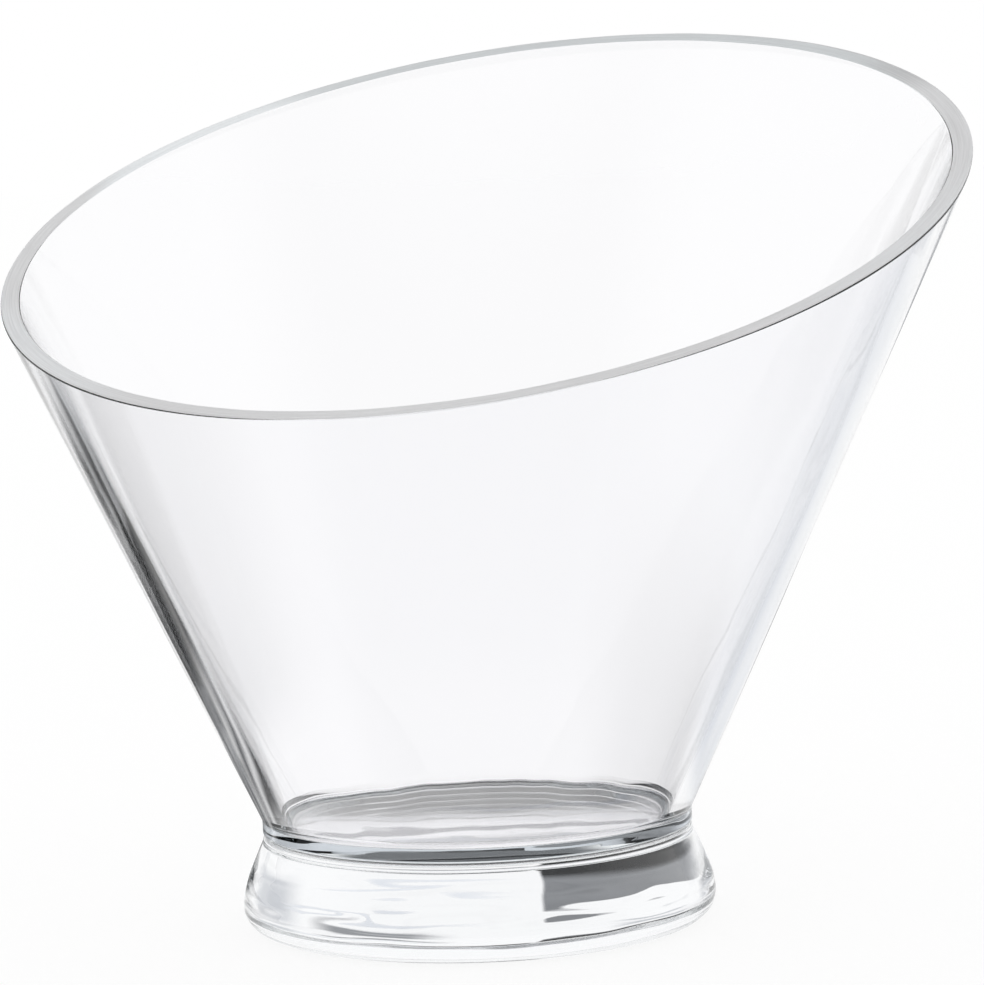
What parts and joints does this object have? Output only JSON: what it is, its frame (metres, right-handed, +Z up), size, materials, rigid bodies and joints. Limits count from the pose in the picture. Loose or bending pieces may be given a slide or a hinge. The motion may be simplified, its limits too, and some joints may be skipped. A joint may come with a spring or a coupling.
{
  "type": "serving bowl",
  "caption": "Clear acrylic bowl with a conical wall, a flat slanted rim and a solid flared foot, for serving or displaying food on a table.",
  "frame": {"origin": "centre of the foot's flat underside, on the axis of the foot and the conical wall", "axes": "+Z up along that axis, +Y towards the high side of the slanted rim, so the low lip faces -Y"},
  "size_m": [0.249, 0.2523, 0.2244],
  "materials": {
    "bowl_acrylic": "clear, colourless acrylic with a moulded gloss and a satin, sawn and buffed rim",
    "clear_cement": "clear set cement, dull at its edge",
    "foot_acrylic": "clear, colourless solid acrylic with a moulded gloss"
  },
  "bodies": {
    "root": {"bowl": "bowl_acrylic", "cement_film": "clear_cement", "foot": "foot_acrylic"}
  },
  "joints": []
}
